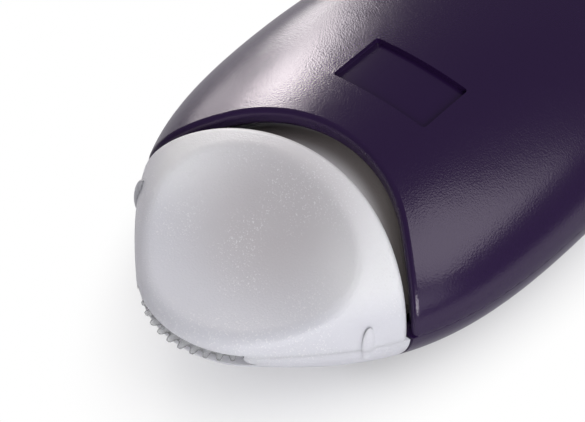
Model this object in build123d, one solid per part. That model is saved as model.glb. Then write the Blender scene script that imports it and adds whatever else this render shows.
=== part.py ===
from build123d import *
import math
import os

# Chalk wheel marker shaped like a computer mouse, all lengths in millimetres.
# +Z is up and the nose with its wheel points to -Y. The pieces are drawn round the wheel: its axis is the
# line x = y = 0 and z = 0 is the plane where the upper and lower shells meet. place() then stands the whole
# marker on its flat base, centred in X and Y.

# Outline seen from above: an arc round the nose tip, then one curve to the waist and one on to the tail
half_width = 21.0
nose_reach = 8.2
nose_radius = 11.2
nose_turn = 44.0
waist_reach = 28.7
tail_reach = 68.0
flank_start_share = 0.4
flank_end_share = 0.54
tail_fair_share = 0.58
tail_round_share = 0.6

# Heights over and under the parting plane, at the waist
crown_height = 10.0
keel_depth = 10.5
base_depth = 9.5

# Handle shells, with a tongue and a rebate where they meet
shell_wall = 2.0
lip_share = 0.5
lip_height = 1.2
mouth_blend = 0.6

# Mouth of the handle: an arch in the upper shell, a straight edge in the lower one
arch_reach = 16.1
arch_radius = 16.9
arch_spread = 40.9
seam_reach = 6.8

# Bare sunk panel on top of the handle
panel_width = 11.6
panel_length = 7.1
panel_reach = 25.5
panel_depth = 0.6
panel_corner = 0.4

# Nose of the cartridge: a dish for the fingertip between a rear rim and the front lip
cartridge_wall = 1.5
nose_swell_share = 1.05
rim_reach = 12.65
rim_radius = 25.5
rim_blend = 0.8
dish_radius = 18.0
dish_stretch_share = 1.8
dish_back_reach = 9.8
dish_back_height = 8.9
dish_front_reach = 6.9
dish_front_height = 1.8
dish_blend = 1.8

# Small upright grip nubs on both sides of the nose
nub_offset = 14.65
nub_reach = 3.1
nub_height = 0.4
nub_proud = 0.55
nub_width = 1.7
nub_tall = 4.4

# Neck of the cartridge, the hollow chalk box that slides into the handle
neck_half_width = 14.5
neck_rise = 7.0
neck_drop = 6.2
neck_flank_share = 0.55
neck_start = 5.5
neck_end = 36.0

# Metering wheel and its axle
tooth_count = 40
wheel_tip_radius = 8.75
tooth_depth = 0.75
tooth_tip_share = 0.3
tooth_root_share = 0.62
wheel_thickness = 1.1
wheel_drop = 0.5
hub_diameter = 5.0
hub_thickness = 1.5
axle_diameter = 1.5
axle_rise = 1.7
axle_drop = 3.4
axle_chamfer = 0.2
bearing_diameter = 4.4

# Refill plug in the rear wall of the neck
plug_diameter = 7.0
plug_shank = 3.4
flange_diameter = 9.2
flange_thickness = 1.2
flange_chamfer = 0.3
tab_length = 6.0
tab_width = 1.4
tab_height = 2.2

# Chalk powder, its level counted from the parting plane
chalk_level = 3.2
chalk_front = 3.4

# Rails that carry the neck, stops behind it, and ribs across the tail
rib_thickness = 1.2
rail_offset = 9.0
flank_rail_top = -0.6
flank_rail_height = 1.4
stop_offset = 10.0
stop_width = 3.0
tail_rib_level = 5.0
tail_rib_reaches = [46.0, 54.0]

# Pegs that locate an upper shell on its lower one, given as offset and reach
handle_peg_places = [(17.0, 27.0), (11.0, 50.5)]
cartridge_peg_places = [(11.3, 3.4), (11.4, 32.0)]
boss_diameter = 3.6
peg_diameter = 1.8
peg_rise = 2.6

# Clearances between the pieces
seam_gap = 0.3
slide_gap = 0.3
slot_gap = 0.25
run_gap = 0.05
end_gap = 0.25
powder_gap = 0.3

# Reach of the plain cutting blocks, well beyond the part
beyond = half_width + tail_reach

rising = (Align.CENTER, Align.CENTER, Align.MIN)
sinking = (Align.CENTER, Align.CENTER, Align.MAX)
forward = (Align.CENTER, Align.MAX, Align.CENTER)
backward = (Align.CENTER, Align.MIN, Align.CENTER)


def half_space(up):
    """Everything over the parting plane, or everything under it."""
    return Box(beyond * 2, beyond * 2, beyond, align=rising if up else sinking)


def slab(low, high):
    """Everything between two heights."""
    return Pos(0, 0, low) * Box(beyond * 2, beyond * 2, high - low, align=rising)


def behind(reach):
    """Everything behind a plane across the marker."""
    return Pos(0, reach, 0) * Box(beyond * 2, beyond * 2, beyond * 2, align=backward)


def both_sides(piece):
    """A shape on the right together with its mirror image on the left."""
    return piece + mirror(piece, about=Plane.YZ)


def body(inset, up):
    """Upper or lower half of the outer form, drawn INSET inside the real one: the outline swept half a turn
    round the long axis and then flattened to the height of that half."""
    side = half_width - inset
    tail = tail_reach - inset
    radius = nose_radius - inset
    centre = nose_radius - nose_reach
    turn = math.radians(nose_turn)
    tip = (0, centre - radius)
    middle = (radius * math.sin(turn / 2), centre - radius * math.cos(turn / 2))
    bend = (radius * math.sin(turn), centre - radius * math.cos(turn))
    run = waist_reach - bend[1]
    fair = flank_start_share * run
    leave = (bend[0] + fair * math.cos(turn), bend[1] + fair * math.sin(turn))
    waist = (side, waist_reach)
    outline = ThreePointArc(tip, middle, bend)
    outline += Bezier(bend, leave, (side, waist_reach - flank_end_share * run), waist)
    tail_handle = (side, waist_reach + tail_fair_share * (tail - waist_reach))
    outline += Bezier(waist, tail_handle, (tail_round_share * side, tail), (0, tail))
    outline += Line((0, tail), tip)
    swept = revolve(make_face(outline), Axis.Y, -180 if up else 180)
    height = (crown_height if up else keel_depth) - inset
    return scale(swept, by=(1, 1, height / side))


def mouth(gap, up):
    """Everything in front of the handle's mouth, its edge moved forward by GAP."""
    if not up:
        return Pos(0, seam_reach - gap, 0) * Box(beyond * 2, beyond, beyond * 2, align=forward)
    radius = arch_radius - gap
    centre = arch_reach - arch_radius
    turn = math.radians(arch_spread)
    bend = (radius * math.sin(turn), centre + radius * math.cos(turn))
    end = (bend[0] + beyond * math.cos(turn), bend[1] - beyond * math.sin(turn))
    left_bend = (-bend[0], bend[1])
    outline = ThreePointArc(left_bend, (0, centre + radius), bend)
    outline += Polyline(bend, end, (end[0], -beyond), (-end[0], -beyond), (-end[0], end[1]), left_bend)
    return extrude(make_face(outline), beyond)


def rim_disc(inset):
    """Everything in front of the rear wall of the nose, whose rim is an arc seen from above."""
    return Pos(0, rim_reach - rim_radius, 0) * Cylinder(rim_radius - inset, beyond)


def dish(grow):
    """Stretched ball that scoops out the fingertip dish, GROW larger for the wall under it."""
    run = dish_back_reach + dish_front_reach
    climb = dish_back_height - dish_front_height
    chord = math.hypot(run, climb)
    lift = math.sqrt(dish_radius**2 - (chord / 2) ** 2) / chord
    centre_y = (dish_back_reach - dish_front_reach) / 2 - lift * climb
    centre_z = (dish_back_height + dish_front_height) / 2 + lift * run
    return Pos(0, centre_y, centre_z) * scale(Sphere(dish_radius + grow), by=(dish_stretch_share, 1, 1))


def nose(inset, up):
    """Upper or lower half of the nose, INSET inside its skin, with no dish yet."""
    form = body(inset, up) & mouth(seam_gap + inset, up)
    if up:
        form = scale(form, by=(1, 1, nose_swell_share)) & rim_disc(inset)
    return form


def neck(grow, start, end, up):
    """Upper or lower half of the neck from START to END, GROW larger all round. Its section is a flat oval: a
    wide arc over the back that runs on into a small arc down each flank."""
    height = neck_rise if up else neck_drop
    flank = neck_flank_share * height
    side = neck_half_width - flank
    wide = (side**2 + height**2 - flank**2) / (height - flank) / 2
    turn = math.degrees(math.atan2(wide - height, side))
    section = CenterArc((0, height - wide), wide + grow, turn, 180 - turn * 2)
    section += CenterArc((side, 0), flank + grow, 0, turn)
    section += CenterArc((-side, 0), flank + grow, 180 - turn, turn)
    section += Line((-side - flank - grow, 0), (side + flank + grow, 0))
    half = section if up else mirror(section, about=Plane.XZ)
    return extrude(Plane.XZ.offset(-start) * make_face(half), start - end)


def cavity(inset, up):
    """Hollow of the cartridge, INSET further inside its walls."""
    wall = cartridge_wall + inset
    hollow = nose(wall, up) + neck(-wall, neck_start, neck_end - wall, up)
    return hollow - dish(wall) if up else hollow


def wheel_room(gap):
    """Disc of air round the wheel; cut through the front of the nose it makes the slot."""
    return Pos(0, 0, -wheel_drop) * Cylinder(wheel_tip_radius + gap, wheel_thickness + gap * 2)


def hub_room():
    """Disc of air round the wheel's hub."""
    return Pos(0, 0, -wheel_drop) * Cylinder(hub_diameter / 2 + slot_gap, hub_thickness + run_gap * 2)


def axle_hole(depth):
    """Blind hole for an axle end that goes DEPTH into a bearing."""
    return Pos(0, 0, -wheel_drop) * Cylinder(axle_diameter / 2 + run_gap, (depth + run_gap) * 2)


def plug_hole():
    """Filler hole in the rear wall of the neck."""
    bore = Cylinder(plug_diameter / 2 + run_gap, (cartridge_wall + end_gap) * 2)
    return Pos(0, neck_end, 0) * Rot(90, 0, 0) * bore


def columns(places, diameter, height):
    """Upright round bars at the peg places, on both sides."""
    bars = Part()
    for offset, reach in places:
        bars += Pos(offset, reach, 0) * Cylinder(diameter / 2, height)
    return both_sides(bars)


def peg_holes(places):
    """Holes in an upper shell that the pegs enter."""
    return columns(places, peg_diameter + run_gap * 2, (peg_rise + run_gap) * 2)


def peg_pins(places):
    """Pegs that stand up from the bosses of a lower shell."""
    return columns(places, peg_diameter, peg_rise * 2) & half_space(True)


def nubs():
    """Two small upright swellings on the sides of the nose."""
    bump = scale(Sphere(nub_proud), by=(1, nub_width / 2 / nub_proud, nub_tall / 2 / nub_proud))
    return both_sides(Pos(nub_offset, nub_reach, nub_height) * bump)


def rails(up):
    """Ribs of the handle that carry the neck: two along its back or belly, and two along its flanks."""
    start = arch_reach if up else seam_reach + shell_wall
    plate = Pos(rail_offset, start, 0) * Box(rib_thickness, neck_end - start, beyond, align=backward)
    found = both_sides(plate)
    if not up:
        flank = slab(flank_rail_top - flank_rail_height, flank_rail_top) & behind(arch_reach)
        found += flank - behind(neck_end)
    return (found & body(shell_wall / 2, up)) - neck(slide_gap, 0, neck_end + seam_gap, up)


def tail_ribs(up):
    """Stiffening ribs across the rear of a handle shell, with straight edges."""
    crest = body(shell_wall / 2, up) - slab(-tail_rib_level, tail_rib_level)
    plates = Part()
    for reach in tail_rib_reaches:
        plates += Pos(0, reach, 0) * Box(beyond, rib_thickness, beyond)
    return plates & crest


def stops():
    """Two blocks behind the neck that end its way in."""
    reach = neck_end + end_gap
    block = Pos(stop_offset, reach, 0) * Box(stop_width, rib_thickness, beyond, align=backward)
    return both_sides(block) & body(shell_wall / 2, False)


def handle_top_shell():
    """Upper half of the handle with its arched mouth and the bare sunk panel."""
    shell = body(0, True) - body(shell_wall, True) - mouth(0, True)
    arch_edges = [e for e in shell.edges() if e.center().Y < arch_reach and e.center().Z > shell_wall]
    shell = fillet(arch_edges, mouth_blend)
    window = extrude(RectangleRounded(panel_width, panel_length, panel_corner), beyond)
    shell -= Pos(0, panel_reach, 0) * window & (body(0, True) - body(panel_depth, True))
    rebate = body(shell_wall * lip_share, True) & slab(0, lip_height + run_gap)
    shell -= rebate - mouth(end_gap - shell_wall, True)
    shell += (rails(True) + tail_ribs(True)) - slab(0, lip_height + end_gap)
    shell += columns(handle_peg_places, boss_diameter, beyond) & body(shell_wall / 2, True)
    return shell - peg_holes(handle_peg_places)


def handle_bottom_shell():
    """Lower half of the handle: flat base, straight mouth, tongue all round, rails, stops and pegs."""
    shell = body(0, False) - (body(shell_wall, False) & slab(shell_wall - base_depth, 0))
    bosses = columns(handle_peg_places, boss_diameter, beyond) & body(shell_wall / 2, False)
    shell += rails(False) + tail_ribs(False) + stops() + bosses
    shell = (shell & slab(-base_depth, 0)) - mouth(0, False)
    tongue = body(shell_wall * lip_share + run_gap, True) - body(shell_wall, True)
    tongue = (tongue & slab(0, lip_height)) - mouth(-shell_wall, True)
    return shell + tongue + peg_pins(handle_peg_places)


def dished_nose():
    """Solid upper half of the nose with the dish, its soft edge and the rounded rear rim."""
    scooped = nose(0, True) - dish(0)
    raised = [e for e in scooped.edges() if e.bounding_box().min.Z > slot_gap]
    scooped = fillet([e for e in raised if e.center().Y < dish_back_reach], dish_blend)
    high = [e for e in scooped.edges() if e.center().Z > dish_front_height]
    rim = max(high, key=lambda edge: edge.center().Y)
    return fillet(rim, rim_blend)


def cartridge_posts(up):
    """Bearing for the axle and bosses for the pegs, grown from the skin of the cartridge."""
    bearing = Cylinder(bearing_diameter / 2, beyond) & body(cartridge_wall / 2, up)
    bosses = columns(cartridge_peg_places, boss_diameter, beyond) & body(cartridge_wall / 2, up)
    return (bearing + bosses) & cavity(-cartridge_wall / 2, up)


def cartridge_top_shell():
    """Upper half of the cartridge: dished nose, grip nubs, neck, wheel slot and bearing."""
    shell = dished_nose() + neck(0, dish_back_reach, neck_end, True) + (nubs() & half_space(True))
    shell = (shell - cavity(0, True)) + cartridge_posts(True)
    shell -= wheel_room(slot_gap) + hub_room() + peg_holes(cartridge_peg_places)
    return shell - axle_hole(axle_rise) - plug_hole()


def cartridge_bottom_shell():
    """Lower half of the cartridge: keel of the nose, lower lip, neck, pegs and wheel bearing."""
    keel = nose(0, False) & slab(-base_depth, 0)
    shell = keel + neck(0, neck_start, neck_end, False) + (nubs() & half_space(False))
    shell = (shell - cavity(0, False)) + cartridge_posts(False)
    shell -= wheel_room(slot_gap) + hub_room()
    return shell - axle_hole(axle_drop) - plug_hole() + peg_pins(cartridge_peg_places)


def polar(radius, turn):
    """Point at an angle counted from the front of the wheel."""
    return (radius * math.sin(turn), -radius * math.cos(turn))


def metering_wheel():
    """Disc with rounded teeth and a hub, bored for its axle."""
    step = 2 * math.pi / tooth_count
    tip_turn = tooth_tip_share * step / 2
    root_turn = tooth_root_share * step / 2
    root = wheel_tip_radius - tooth_depth
    crown = root * tip_turn / 2
    rim = Curve()
    for tooth in range(tooth_count):
        middle = tooth * step
        left = polar(wheel_tip_radius - crown, middle - tip_turn)
        right = polar(wheel_tip_radius - crown, middle + tip_turn)
        valley_start = polar(root, middle + root_turn)
        valley_end = polar(root, middle + step - root_turn)
        rim += Line(polar(root, middle - root_turn), left)
        rim += ThreePointArc(left, polar(wheel_tip_radius, middle), right)
        rim += Line(right, valley_start)
        rim += ThreePointArc(valley_start, polar(root - crown, middle + step / 2), valley_end)
    disc = extrude(make_face(rim), wheel_thickness / 2, both=True)
    hub = Cylinder(hub_diameter / 2, hub_thickness)
    bore = Cylinder(axle_diameter / 2, hub_thickness * 2)
    return Pos(0, 0, -wheel_drop) * (disc + hub - bore)


def wheel_axle():
    """Straight pin pressed through the hub, running in the bearings of both cartridge shells."""
    pin = Cylinder(axle_diameter / 2, axle_rise + axle_drop, align=rising)
    ends = pin.edges().filter_by(GeomType.CIRCLE)
    return Pos(0, 0, -wheel_drop - axle_drop) * chamfer(ends, axle_chamfer)


def refill_plug():
    """Stopper with a flange and a pull tab, pushed into the rear wall of the neck."""
    shank = Cylinder(plug_diameter / 2, plug_shank, align=rising)
    hollow = Cylinder(plug_diameter / 2 - cartridge_wall, plug_shank - flange_thickness, align=rising)
    flange = Cylinder(flange_diameter / 2, flange_thickness, align=rising)
    flange = Pos(0, 0, plug_shank) * chamfer(flange.edges().filter_by(GeomType.CIRCLE), flange_chamfer)
    tab = Box(tab_length, tab_width, flange_thickness + tab_height, align=rising)
    plug = shank + flange + Pos(0, 0, plug_shank) * tab - hollow
    return Pos(0, neck_end - plug_shank, 0) * Rot(-90, 0, 0) * plug


def chalk_charge():
    """Loose powder in the neck, level on top, with room for the wheel that runs in it."""
    heap = cavity(powder_gap, True) + cavity(powder_gap, False)
    heap &= slab(-base_depth, chalk_level) & behind(chalk_front)
    heap -= wheel_room(powder_gap) + columns(cartridge_peg_places, boss_diameter + powder_gap * 2, beyond)
    plug_air = Cylinder(plug_diameter / 2 + powder_gap, neck_end, align=rising)
    return heap - Pos(0, neck_end - plug_shank - powder_gap, 0) * Rot(-90, 0, 0) * plug_air


def place(piece):
    """Stand the marker on its base, centred over the middle of its length."""
    middle = (tail_reach - wheel_tip_radius) / 2
    return Pos(0, -middle, base_depth) * piece


pieces = {
    "handle_top_shell": handle_top_shell,
    "handle_bottom_shell": handle_bottom_shell,
    "cartridge_top_shell": cartridge_top_shell,
    "cartridge_bottom_shell": cartridge_bottom_shell,
    "metering_wheel": metering_wheel,
    "wheel_axle": wheel_axle,
    "refill_plug": refill_plug,
    "chalk_charge": chalk_charge,
}

os.makedirs("parts", exist_ok=True)
for name, make in pieces.items():
    export_step(place(make()), f"parts/{name}.step")
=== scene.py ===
# %% [markdown]
# A tailor's chalk marker lies on white paper: a dark handle shaped like a mouse, a milky chalk cartridge
# pushed into its mouth, and a clear toothed wheel at the front that lays the chalk down. The construction
# model already holds every moulded piece in its real place. This lesson gives the pieces their finishes,
# draws the wheel again with the thin round edges that clear plastic needs, lights the paper and sets the
# camera.

# %% Load the construction model
import math

import bpy
import numpy as np
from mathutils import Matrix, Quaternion, Vector


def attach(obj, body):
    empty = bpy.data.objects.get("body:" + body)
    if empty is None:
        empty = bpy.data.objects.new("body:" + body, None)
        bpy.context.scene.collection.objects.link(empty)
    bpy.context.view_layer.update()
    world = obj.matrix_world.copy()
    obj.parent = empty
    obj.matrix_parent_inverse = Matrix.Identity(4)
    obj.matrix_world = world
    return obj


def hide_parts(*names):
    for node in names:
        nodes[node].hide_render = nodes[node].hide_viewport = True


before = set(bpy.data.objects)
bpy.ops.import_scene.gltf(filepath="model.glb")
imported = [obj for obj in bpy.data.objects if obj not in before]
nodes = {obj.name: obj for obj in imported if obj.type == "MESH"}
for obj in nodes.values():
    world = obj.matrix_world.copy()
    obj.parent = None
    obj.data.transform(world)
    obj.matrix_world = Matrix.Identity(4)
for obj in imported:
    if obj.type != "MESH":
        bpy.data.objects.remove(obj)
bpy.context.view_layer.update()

MM = 0.001
print("pieces of the model:", sorted(nodes))

# %% [markdown]
# The camera stands in front of the marker's right side and looks down on its nose. A long lens from a
# quarter of a metre keeps the round handle from swelling. Its place is given the way a photographer would
# say it: a compass direction, a height above the table in degrees and a distance from the point it is aimed
# at, with a slight roll of the hand. One helper turns such a direction into a vector, and the lamps will
# use it too.

# %% Place the camera
VIEW_AZIMUTH = 38.5
VIEW_ELEVATION = 46.32
VIEW_ROLL = 2.42
VIEW_DISTANCE = 250 * MM
VIEW_AIM = Vector((-1.32, -18.85, 11.02)) * MM
VIEW_LENS = 155.3
NEAREST, FARTHEST = 10 * MM, 20


def toward(azimuth, elevation):
    """Unit vector to a compass direction: azimuth 0 is in front of the nose and 90 is on its right."""
    turn, lift = math.radians(azimuth), math.radians(elevation)
    return Vector((math.sin(turn) * math.cos(lift), -math.cos(turn) * math.cos(lift), math.sin(lift)))


def add_camera():
    camera = bpy.data.objects.new("camera", bpy.data.cameras.new("camera"))
    bpy.context.scene.collection.objects.link(camera)
    back = toward(VIEW_AZIMUTH, VIEW_ELEVATION)
    level = (-back).to_track_quat("-Z", "Y")
    camera.rotation_mode = "QUATERNION"
    camera.rotation_quaternion = level @ Quaternion((0, 0, 1), math.radians(VIEW_ROLL))
    camera.location = VIEW_AIM + back * VIEW_DISTANCE
    camera.data.lens = VIEW_LENS
    camera.data.clip_start, camera.data.clip_end = NEAREST, FARTHEST
    return camera


bpy.context.scene.camera = add_camera()
print("camera stands at", [round(part, 4) for part in bpy.context.scene.camera.location])

# %% [markdown]
# Shader sums are easier to read as Python sums. A Wire wraps one output of a node, and each operator on it
# adds the Math node that does the sum, so that 1.0 - mask is one short line and not a node set up by hand.

# %% Wires that can be added and multiplied


class Wire:
    """One output socket of a shader, with sums and products that add Math nodes."""

    def __init__(self, tree, socket):
        self.tree, self.socket = tree, socket

    def maths(self, operation, *values):
        return self.tree.node("ShaderNodeMath", {"operation": operation}, *values)

    def __add__(self, other):
        return self.maths("ADD", self, other)

    def __radd__(self, other):
        return self.maths("ADD", other, self)

    def __sub__(self, other):
        return self.maths("SUBTRACT", self, other)

    def __rsub__(self, other):
        return self.maths("SUBTRACT", other, self)

    def __mul__(self, other):
        return self.maths("MULTIPLY", self, other)

    def __rmul__(self, other):
        return self.maths("MULTIPLY", other, self)

    def __truediv__(self, other):
        return self.maths("DIVIDE", self, other)

    def size(self):
        """The value without its sign."""
        return self.maths("ABSOLUTE", self)

    def sign(self):
        """-1 for a value under zero and 1 for one above it."""
        return self.maths("SIGN", self)

    def smooth(self, start, end):
        """0 up to START, 1 from END on, an S-shaped climb between. END may be the smaller of the two."""
        settings = {"interpolation_type": "SMOOTHSTEP"}
        return self.tree.node("ShaderNodeMapRange", settings, self, start, end, 0.0, 1.0)


print("a wire also knows:", [name for name in vars(Wire) if not name.startswith("_")])

# %% [markdown]
# Materials and the world are both trees of nodes, so one class can build either. Its node method adds any
# node: the settings go in first, because some of them change which sockets the node has, then values or
# wires go to the sockets. The rest are short names for what the finishes below need again and again.

# %% A tree of shader nodes
MIX_SOCKETS = {"RGBA": (6, 7, 2), "VECTOR": (4, 5, 1)}


class Tree:
    """The nodes of one material or of the world, added through wires."""

    def __init__(self, node_tree):
        self.nodes, self.links = node_tree.nodes, node_tree.links

    def node(self, kind, settings, *values, out=0, **named):
        """Add a node: its settings first, then its sockets by place or by name."""
        made = self.nodes.new(kind)
        for key, value in settings.items():
            setattr(made, key, value)
        for key, value in list(enumerate(values)) + list(named.items()):
            self.feed(made.inputs[key if isinstance(key, int) else key.replace("_", " ")], value)
        return Wire(self, made.outputs[out])

    def feed(self, socket, value):
        """Link a wire to the socket, or set a plain value on it."""
        if isinstance(value, Wire):
            self.links.new(value.socket, socket)
        elif value is not None:
            socket.default_value = value

    def others(self, wire):
        """Every output of the node that the wire comes from, by name."""
        return {socket.name: Wire(self, socket) for socket in wire.socket.node.outputs}

    def place(self):
        """Position on the piece, in metres from the marker's origin."""
        return self.node("ShaderNodeTexCoord", {}, out="Object")

    def split(self, where):
        """The three coordinates of a place, as wires."""
        return list(self.others(self.node("ShaderNodeSeparateXYZ", {}, where)).values())

    def length(self, x, y):
        """Distance from the middle of a plane: the root of the sum of both squares."""
        squares = x * x + y * y
        return squares.maths("SQRT", squares)

    def noise(self, where, scale, detail=2.0, roughness=0.5):
        """Cloudy grey from 0 to 1, SCALE clouds to the metre."""
        kind = "ShaderNodeTexNoise"
        return self.node(kind, {}, Vector=where, Scale=scale, Detail=detail, Roughness=roughness)

    def blend(self, factor, low, high, kind="RGBA"):
        """LOW where the factor is 0 and HIGH where it is 1, of colours or of vectors."""
        first, second, result = MIX_SOCKETS[kind]
        mixed = self.node("ShaderNodeMix", {"data_type": kind}, factor, out=result)
        self.feed(mixed.socket.node.inputs[first], low)
        self.feed(mixed.socket.node.inputs[second], high)
        return mixed

    def seen(self):
        """1 for what the camera sees, straight or through clear plastic, and 0 for light on its way."""
        rays = self.others(self.node("ShaderNodeLightPath", {}))
        return rays["Is Camera Ray"] + rays["Is Transmission Ray"]

    def choose(self, factor, low, high):
        """The shader LOW where the factor is 0 and HIGH where it is 1."""
        mixed = self.node("ShaderNodeMixShader", {}, factor)
        self.feed(mixed.socket.node.inputs[1], low)
        self.feed(mixed.socket.node.inputs[2], high)
        return mixed


print("a tree can:", [name for name in vars(Tree) if not name.startswith("_")])

# %% [markdown]
# A Finish is the tree of one material. Colours are given as they look on a screen, 0 to 255, because that is
# how they are matched, and turned into the linear values that light is counted in.

# %% Finishes and colours


class Finish(Tree):
    """One material round its main shader."""

    def __init__(self, name):
        self.material = bpy.data.materials.new(name)
        self.material.use_nodes = True
        super().__init__(self.material.node_tree)
        self.shader = self.nodes["Principled BSDF"]
        self.output = self.nodes["Material Output"]

    def set(self, **named):
        """Feed the main shader's sockets by name."""
        for key, value in named.items():
            self.feed(self.shader.inputs[key.replace("_", " ")], value)

    def relief(self, height, depth, under=None):
        """Bump the surface by a height from 0 to 1 that stands for DEPTH metres, over the normal UNDER it."""
        self.set(Normal=self.node("ShaderNodeBump", {}, Distance=depth, Height=height, Normal=under))


def colour(red, green, blue):
    """Linear colour from one read on a screen: each share to the power of 2.4, near black a straight line."""
    shares = [channel / 255 for channel in (red, green, blue)]
    linear = [share / 12.92 if share <= 0.04045 else ((share + 0.055) / 1.055) ** 2.4 for share in shares]
    return (*linear, 1.0)


def dress(names, finish):
    """Give pieces of the model a finish."""
    for name in names:
        nodes[name].data.materials.clear()
        nodes[name].data.materials.append(finish.material)
    print(finish.material.name, "on", ", ".join(names))


print("mid grey on a screen is", round(colour(128, 128, 128)[0], 3), "of white in light")

# %% [markdown]
# The handle is injection moulded in aubergine plastic, and its mould was etched with a fine leather grain,
# so that it doesn't slip in the hand. The grain could be cut into the mesh, but it is a fifth of a
# millimetre wide and would need millions of faces. Rounded cells and small clouds in the height of a bump
# are enough, because the grain only shows where it breaks up a highlight.

# %% Grain of the handle
GRAIN_CELLS = 5200.0
GRAIN_CLOUDS = 4500.0
CELL_SOFTNESS = 0.35


def leather_grain(finish, where):
    """Height of the grain and the clouds in it: soft cells plus clouds, both some thousands to the metre."""
    voronoi, settings = "ShaderNodeTexVoronoi", {"feature": "SMOOTH_F1"}
    cells = finish.node(voronoi, settings, Vector=where, Scale=GRAIN_CELLS, Smoothness=CELL_SOFTNESS)
    clouds = finish.noise(where, GRAIN_CLOUDS)
    return cells * 0.8 + clouds * 0.7, clouds


print("the grain's cells are", round(1 / GRAIN_CELLS / MM, 2), "mm wide")

# %% [markdown]
# Two places of the handle differ from the grain round them. The floor of the sunk panel is smooth, as a
# polished insert in the mould leaves it, and a hair-thin groove runs where the two shells meet. Both are
# masks worked out from the place on the piece, so they need no drawing on the surface and stay sharp at any
# size.

# %% Smooth panel and parting line
PARTING_HEIGHT = 9.5 * MM
LINE_EDGE = (0.12 * MM, 0.02 * MM)
PANEL_CENTRE = -4.125 * MM
PANEL_HALF_WIDTH = 5.8 * MM
PANEL_HALF_LENGTH = 3.55 * MM
PANEL_EDGE = (0.02 * MM, -0.06 * MM)
PANEL_HEIGHT = (15 * MM, 16 * MM)


def panel_floor(x, y, z):
    """1 inside a rectangle on top of the handle: a step in x, times a step in y, times a step in height."""
    across = (x.size() - PANEL_HALF_WIDTH).smooth(*PANEL_EDGE)
    along = ((y - PANEL_CENTRE).size() - PANEL_HALF_LENGTH).smooth(*PANEL_EDGE)
    return across * along * z.smooth(*PANEL_HEIGHT)


def parting_line(z):
    """1 where the shells meet and 0 a little above and below: a step of the distance from that height."""
    return (z - PARTING_HEIGHT).size().smooth(*LINE_EDGE)


print("the panel is", 2 * PANEL_HALF_WIDTH / MM, "by", 2 * PANEL_HALF_LENGTH / MM, "mm")

# %% [markdown]
# The finish of the handle brings these together. The colour is nearly black, so what the eye reads is the
# sheen: a fairly smooth plastic whose clouds make it a little rougher here and there. The tint of its
# reflections is a touch toward violet, as deep dyed plastics have it.

# %% Finish of the handle
GRAIN_DEPTH = 0.021 * MM


def aubergine_plastic():
    finish = Finish("aubergine_grained_plastic")
    where = finish.place()
    x, y, z = finish.split(where)
    grain, clouds = leather_grain(finish, where)
    smooth_floor = panel_floor(x, y, z)
    finish.set(
        Base_Color=colour(40, 21, 60),
        Roughness=0.20 + clouds * 0.06 - smooth_floor * 0.06,
        IOR=1.5,
        Specular_IOR_Level=0.6,
        Specular_Tint=(1.0, 0.92, 1.0, 1.0),
    )
    finish.relief(grain * (1.0 - smooth_floor) * 0.5 - parting_line(z) * 2.0, GRAIN_DEPTH)
    return finish


dress(["handle_top_shell", "handle_bottom_shell"], aubergine_plastic())

# %% [markdown]
# The cartridge is moulded in milky plastic, frosted on the outside. Its dish for the fingertip lies in shade
# and looks greyer there, with a hint of warmth, and the rim round it catches more light and looks whiter.
# That shade and light are painted into the colour: a painted shade that fades out from the middle of the
# dish, and a painted light that grows whiter with the height.

# %% Painted light and shade of the nose
BOWL_CENTRE = -23.5 * MM
BOWL_HALF_WIDTH, BOWL_HALF_LENGTH = 11 * MM, 9 * MM
BOWL_FADE = (0.2, 1.25)
RIM_RISE = (12.0 * MM, 15.6 * MM)
BOWL_PAINTED_SHADE, LOW_SHADED_WHITE, RIM_LIT_WHITE = colour(211, 207, 209), colour(224, 224, 229), colour(254, 254, 255)


def nose_painted_light_and_shade(finish, x, y, z):
    """Painted shade by the distance from the bowl's middle, in half widths and half lengths, painted light by
    height.
    """
    bowl = finish.length(x / BOWL_HALF_WIDTH, (y - BOWL_CENTRE) / BOWL_HALF_LENGTH)
    rim = finish.blend(z.smooth(*RIM_RISE), LOW_SHADED_WHITE, RIM_LIT_WHITE)
    return finish.blend(bowl.smooth(*BOWL_FADE), BOWL_PAINTED_SHADE, rim)


print("the grey of the bowl ends", round(BOWL_FADE[1] * BOWL_HALF_WIDTH / MM, 1), "mm from its middle")

# %% [markdown]
# Frosted plastic glitters: here and there one tiny facet of the rough skin throws light at the eye. Fine
# noise cut off high leaves only such specks, and a second, wide noise gathers them in drifts, as real
# frosting is never quite even. The specks are a little glossier than the milk around them, and their glint is
# painted into the colour as a whiter tone.

# %% Specks in the frosting, with painted glints
SPECKS, DRIFTS = 5200.0, 160.0
SPECK_CUT, DRIFT_CUT = (0.57, 0.70), (0.35, 0.65)


def frosting(finish, where):
    """The fine noise itself, and glints: its peaks where the wide noise is high."""
    specks = finish.noise(where, SPECKS, 2.0, 0.6)
    drift = finish.noise(where, DRIFTS, 1.0)
    return specks, specks.smooth(*SPECK_CUT) * drift.smooth(*DRIFT_CUT)


print("a speck is about", round(1 / SPECKS / MM, 2), "mm wide and a drift", round(1 / DRIFTS / MM, 1), "mm")

# %% [markdown]
# Behind the nose a crescent of the neck shows in the gap under the handle's arch. It lies deep and looks
# grey and warm. The lamps of this small studio reach into the gap more than the room's light would, so the
# plastic itself is given the darker tone there, in a narrow ring round the middle of the arch that ends at
# the nose's rear rim.

# %% Shaded crescent of the neck
ARCH_CENTRE = -30.4 * MM
REAR_RIM_CENTRE, REAR_RIM_RADIUS = -42.475 * MM, 25.5 * MM
RING_CLIMB, RING_FALL = (13.6 * MM, 16.6 * MM), (19.0 * MM, 17.6 * MM)
REAR_RIM_EDGE = (0.2 * MM, 0.8 * MM)


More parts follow.
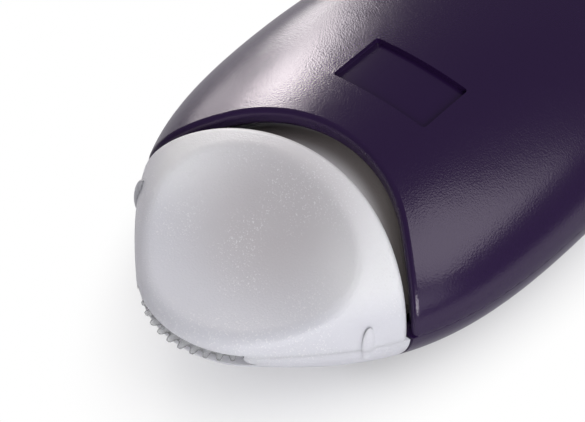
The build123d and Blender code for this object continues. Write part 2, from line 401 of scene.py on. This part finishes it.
def crescent(finish, x, y):
    """1 in a ring round the arch's centre, a climb times a fall, and only outside the rear rim's circle."""
    from_arch = finish.length(x, y - ARCH_CENTRE)
    past_rim = finish.length(x, y - REAR_RIM_CENTRE) - REAR_RIM_RADIUS
    ring = from_arch.smooth(*RING_CLIMB) * from_arch.smooth(*RING_FALL)
    return ring * past_rim.smooth(*REAR_RIM_EDGE)


print("the rear rim crosses the middle at y", round((REAR_RIM_CENTRE + REAR_RIM_RADIUS) / MM, 2), "mm")

# %% [markdown]
# A nub stands on each flank of the nose for the fingers to pull at. On the real one it melts softly into
# the flank. The model's nub meets it in a sharp crease, so round each nub the normal leans toward that of
# the plain flank: outward, forward and up or down with the height. That softens the shading and leaves the
# shape alone.

# %% Soft nubs
NUB_OFFSET, NUB_PLACE = 14.65 * MM, -26.525 * MM
NUB_ACROSS, NUB_ALONG = (2.4 * MM, 1.0 * MM), (2.2 * MM, 1.0 * MM)
FLANK_OUTWARD, FLANK_FORWARD = 0.8, -0.56
FLANK_BULGE = 5 * MM
NUB_SHARE = 0.65


def soft_nub_normal(finish, x, y, z):
    """The surface's normal, mixed near the nubs with the flank's: outward, forward, and by the height."""
    beside = (x.size() - NUB_OFFSET).size().smooth(*NUB_ACROSS)
    near = beside * (y - NUB_PLACE).size().smooth(*NUB_ALONG)
    surface = finish.node("ShaderNodeNewGeometry", {}, out="Normal")
    rise = (z - PARTING_HEIGHT) / FLANK_BULGE
    flank = finish.node("ShaderNodeCombineXYZ", {}, x.sign() * FLANK_OUTWARD, FLANK_FORWARD, rise)
    flank = finish.node("ShaderNodeVectorMath", {"operation": "NORMALIZE"}, flank)
    return finish.blend(near * NUB_SHARE, surface, flank, kind="VECTOR")


print("nubs stand", 2 * NUB_OFFSET / MM, "mm apart")

# %% [markdown]
# The milky finish brings its four parts together. A little subsurface scattering lets the light blur under
# the skin, and the fine noise of the frosting is also its relief.

# %% Finish of the cartridge
FROST_DEPTH = 0.04 * MM
LIGHT_REACH = 0.9 * MM


def milky_plastic():
    finish = Finish("milky_frosted_plastic")
    where = finish.place()
    x, y, z = finish.split(where)
    specks, glints = frosting(finish, where)
    # painted glints: the specks get a whiter colour
    # painted shade greys the bowl, and painted light whitens the nose the higher it lies
    frosted = finish.blend(glints, nose_painted_light_and_shade(finish, x, y, z), colour(247, 246, 248))
    finish.set(
        # painted shade: a darker, warmer colour in the crescent of the neck under the handle's arch
        Base_Color=finish.blend(crescent(finish, x, y), frosted, colour(138, 131, 128)),
        Roughness=0.40 - glints * 0.16,
        Subsurface_Weight=0.4,
        Subsurface_Radius=(1.0, 0.95, 1.0),
        Subsurface_Scale=LIGHT_REACH,
        IOR=1.47,
    )
    finish.relief(specks, FROST_DEPTH, under=soft_nub_normal(finish, x, y, z))
    return finish


dress(["cartridge_top_shell", "cartridge_bottom_shell"], milky_plastic())

# %% [markdown]
# Three pieces show only when the cartridge is pulled out or not at all: the ground steel pin that the wheel
# turns on, the soft plug that closes the chalk box, and the powder. Each is one even material, so its main
# shader is enough. They are dressed all the same, because a piece that moves into view should look like
# what it is.

# %% Finishes of the pieces inside


def ground_steel():
    finish = Finish("ground_steel")
    finish.set(Base_Color=colour(190, 190, 192), Roughness=0.28, Metallic=1.0)
    return finish


def soft_white_plastic():
    finish = Finish("soft_white_plastic")
    finish.set(Base_Color=colour(222, 222, 214), Roughness=0.5)
    return finish


def chalk_powder():
    finish = Finish("chalk_powder")
    finish.set(Base_Color=colour(238, 238, 234), Roughness=0.95)
    return finish


dress(["wheel_axle"], ground_steel())
dress(["refill_plug"], soft_white_plastic())
dress(["chalk_charge"], chalk_powder())

# %% [markdown]
# The wheel is moulded in clear plastic, with forty soft teeth that carry the chalk. Clear plastic shows
# every edge twice, once in front and once behind, so the flat-sided wheel of the model would look like a
# dark comb. This wheel has the same teeth, but thins toward their tips and ends in a round edge. It is one
# surface on a grid: columns go round the wheel, and rows go from the bore over the upper face to the rim
# and back below.

# %% Sizes of the wheel
TEETH = 40
TIP_RADIUS, ROOT_RADIUS, WEB_RADIUS = 8.75 * MM, 8.0 * MM, 7.3 * MM
HUB_RADIUS, BORE_RADIUS = 2.5 * MM, 0.76 * MM
HUB_HALF, WEB_HALF, TIP_HALF = 0.75 * MM, 0.55 * MM, 0.26 * MM
HUB_BEVEL = 0.1 * MM
WHEEL_CENTRE = np.array([0, -29.625, 9.0]) * MM
TOOTH_LAG = math.radians(2.4)
COLUMNS_PER_TOOTH = 20
REACH_SHARES = (0, 0.25, 0.5, 0.7, 0.82, 0.9, 0.95, 0.98, 1.0)
ROUND_SHARE = 0.25
FLANK_SHARES = (0.34, 0.1)
print("a tooth is", round(2 * math.pi * TIP_RADIUS / TEETH / MM, 2), "mm from the next at its tip")

# %% [markdown]
# Cut through the middle, half of the wheel shows its profile: a thick hub with a small bevel, a thinner
# web, and teeth that thin out. Written as rows of the grid, it needs one list. The rows stand closer
# together toward the rim, where the round edge turns fastest.

# %% Rows of the wheel


def wheel_profile():
    """Rows from the bore to the rim: share of the tooth's reach, radius and half thickness. Past the web the
    half thickness falls evenly to that of the tip, and its last part is multiplied by a quarter circle."""
    rows = [(0, BORE_RADIUS, HUB_HALF), (0, HUB_RADIUS - HUB_BEVEL, HUB_HALF)]
    rows += [(0, HUB_RADIUS, HUB_HALF - HUB_BEVEL), (0, HUB_RADIUS, WEB_HALF)]
    rows += [(0, (HUB_RADIUS + WEB_RADIUS) / 2, WEB_HALF)]
    for share in REACH_SHARES:
        into_edge = max(0.0, (share - 1 + ROUND_SHARE) / ROUND_SHARE)
        edge = math.sqrt(max(0.0, 1 - into_edge**2))
        rows.append((share, WEB_RADIUS, (WEB_HALF + (TIP_HALF - WEB_HALF) * share) * edge))
    return np.array(rows)


print("rows over the upper face:", len(wheel_profile()))

# %% [markdown]
# The outline of the teeth is a wave between the root and the tip. A plain sine would make the valleys as
# narrow as the tips, so the wave is an S-shaped step of the distance to the nearest tooth's middle, which
# leaves wide round valleys and rounded tips. The rows follow this outline the more, the further out they
# lie.

# %% Grid of the wheel


def soft_step(value, start, end):
    """0 before START, 1 after END, and three squares less two cubes of the share between."""
    share = np.clip((value - start) / (end - start), 0, 1)
    return share * share * (3 - 2 * share)


def wheel_points():
    """Grid of points: the radius is the row's own, plus its reach times the way from there to the outline."""
    turn = np.linspace(0, 2 * math.pi, TEETH * COLUMNS_PER_TOOTH, endpoint=False)
    off_middle = np.abs((turn * TEETH / (2 * math.pi) + 0.5) % 1 - 0.5)
    outline = ROOT_RADIUS + (TIP_RADIUS - ROOT_RADIUS) * soft_step(off_middle, *FLANK_SHARES)
    upper = wheel_profile()
    lower = upper[-2::-1] * np.array([1, 1, -1])
    reach, radius, height = np.vstack([upper, lower]).T[:, :, None]
    r = radius + reach * (outline - radius)
    x, y = r * np.sin(turn - TOOTH_LAG), -r * np.cos(turn - TOOTH_LAG)
    return np.stack([x, y, np.broadcast_to(height, x.shape)], axis=-1) + WHEEL_CENTRE


def ring_faces(rows, columns):
    """Four-cornered faces of a grid whose last row and last column meet the first ones."""
    row, column = np.meshgrid(np.arange(rows), np.arange(columns), indexing="ij")
    below, beside = (row + 1) % rows, (column + 1) % columns
    corners = [(row, column), (below, column), (below, beside), (row, beside)]
    return np.stack([down * columns + across for down, across in corners], axis=-1).reshape(-1, 4)


print("points on the wheel:", wheel_points().size // 3)

# %% [markdown]
# The clear finish is a compromise. Full transmission with the real index makes small teeth on white paper
# look black, because their round edges bend the line of sight away from the paper and into the dim room. A
# low index and a share of plain transparency keep the teeth light, with grey outlines, as they are seen in
# soft daylight.

# %% Clear wheel


def clear_plastic():
    finish = Finish("clear_polished_plastic")
    finish.set(
        Base_Color=colour(246, 247, 246),
        Roughness=0.08,
        Transmission_Weight=0.75,
        IOR=1.18,
        Alpha=0.75,
    )
    return finish


def add_wheel():
    points = wheel_points()
    mesh = bpy.data.meshes.new("clear_toothed_wheel")
    mesh.from_pydata(points.reshape(-1, 3).tolist(), [], ring_faces(*points.shape[:2]).tolist())
    mesh.shade_smooth()
    mesh.materials.append(clear_plastic().material)
    wheel = bpy.data.objects.new("clear_toothed_wheel", mesh)
    bpy.context.scene.collection.objects.link(wheel)
    return wheel


wheel = add_wheel()
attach(wheel, "wheel")
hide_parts("metering_wheel")
print("wheel faces:", len(wheel.data.polygons))

# %% [markdown]
# The marker lies on white paper that goes on without a horizon. Lamps alone can't make paper white
# everywhere without burning out the nose, so for the camera's eye the lit paper is mixed with plain white:
# a little close to the marker, where its soft shadow has to stay, and fully a short way off. Light on its
# way still meets real paper, so the nose gets its honest glow from below. From underneath the paper can be
# looked through.

# %% White paper
PAPER_HALF = 3.0
PAPER_DROP = -0.01 * MM
SHADOW_HALF_WIDTH, SHADOW_HALF_LENGTH = 19.5 * MM, 38.4 * MM
SHADOW_FADE = (0.65, 1.25)
NEAR_WHITE = 0.2


def white_paper():
    """Share of white: that near the marker, plus the rest by the distance in half widths and half lengths."""
    finish = Finish("white_paper")
    finish.set(Base_Color=colour(240, 240, 242), Roughness=0.9)
    x, y = finish.split(finish.place())[:2]
    spread = finish.length(x / SHADOW_HALF_WIDTH, y / SHADOW_HALF_LENGTH)
    share = NEAR_WHITE + (1 - NEAR_WHITE) * spread.smooth(*SHADOW_FADE)
    lit = Wire(finish, finish.shader.outputs[0])
    white = finish.node("ShaderNodeEmission", {}, Strength=1.0)
    paper = finish.choose(finish.seen() * share, lit, white)
    from_below = finish.node("ShaderNodeNewGeometry", {}, out="Backfacing")
    clear = finish.node("ShaderNodeBsdfTransparent", {})
    finish.feed(finish.output.inputs["Surface"], finish.choose(from_below, paper, clear))
    return finish


def add_floor():
    mesh = bpy.data.meshes.new("floor")
    corners = [(x * PAPER_HALF, y * PAPER_HALF, PAPER_DROP) for x, y in ((-1, -1), (1, -1), (1, 1), (-1, 1))]
    mesh.from_pydata(corners, [], [(0, 1, 2, 3)])
    mesh.materials.append(white_paper().material)
    floor = bpy.data.objects.new("floor", mesh)
    bpy.context.scene.collection.objects.link(floor)
    return floor


floor = add_floor()
print("paper reaches", PAPER_HALF, "m each way")

# %% [markdown]
# Beyond the paper the world is a light grey to the camera. To everything else it is a faint bluish fill,
# like the walls of a dim room, because a bright world would wash the dark sheen of the handle out. The same
# test for rays that are seen, used for the paper, tells the two apart.

# %% The room around
FILL_TINT = (0.93, 0.93, 1.0, 1.0)
FILL_STRENGTH = 0.14
FAR_GREY = (0.8, 0.8, 0.8, 1.0)


def add_world():
    world = bpy.data.worlds.new("studio")
    bpy.context.scene.world = world
    world.use_nodes = True
    tree = Tree(world.node_tree)
    tree.nodes.remove(tree.nodes["Background"])
    fill = tree.node("ShaderNodeBackground", {}, FILL_TINT, FILL_STRENGTH)
    far = tree.node("ShaderNodeBackground", {}, FAR_GREY, 1.0)
    tree.feed(tree.nodes["World Output"].inputs["Surface"], tree.choose(tree.seen(), fill, far))
    return world


print("world:", add_world().name)

# %% [markdown]
# The sheen on the left shoulder of the handle is a narrow, slightly warm window. One box that wide would
# also light the flank below it, so three slim boxes stand side by side behind the left shoulder, each as
# strong as its part of the sheen asks for. A large box in front on the right lights the nose, one high
# behind on the right draws the soft sheen there, and a weak one from the right side lifts the lower edge.

# %% Lamps
LAMP_AIM = Vector((0, -10, 12)) * MM


def add_softbox(name, azimuth, elevation, distance, width, height, power, tint):
    """A rectangle of light in a direction from the aim, facing it. Sizes in metres and power in watts."""
    lamp = bpy.data.lights.new(name, "AREA")
    lamp.shape, lamp.size, lamp.size_y = "RECTANGLE", width, height
    lamp.energy, lamp.color = power, tint
    box = bpy.data.objects.new(name, lamp)
    bpy.context.scene.collection.objects.link(box)
    way = toward(azimuth, elevation)
    box.rotation_mode = "QUATERNION"
    box.rotation_quaternion = way.to_track_quat("Z", "Y")
    box.location = LAMP_AIM + way * distance


add_softbox("key_high_softbox", -121, 30, 0.40, 0.07, 0.12, 0.31, (1.0, 0.955, 0.935))
add_softbox("key_right_softbox", -112, 20, 0.40, 0.10, 0.24, 0.28, (1.0, 0.955, 0.945))
add_softbox("key_left_softbox", -126, 16, 0.40, 0.05, 0.24, 0.286, (1.0, 0.965, 0.955))
add_softbox("side_softbox", 80, 22, 0.45, 0.25, 0.20, 0.14, (0.93, 0.93, 1.0))
add_softbox("front_softbox", 45, 25, 0.50, 0.30, 0.20, 1.23, (0.985, 0.985, 1.0))
add_softbox("rear_softbox", 118, 55, 0.45, 0.30, 0.30, 0.60, (0.97, 0.96, 1.0))
print("lamps:", len(bpy.data.lights))

# %% [markdown]
# Colours are to come out as they were written, so the picture is shown without a film look.

# %% Colours without a film look
bpy.context.scene.view_settings.view_transform = "Standard"
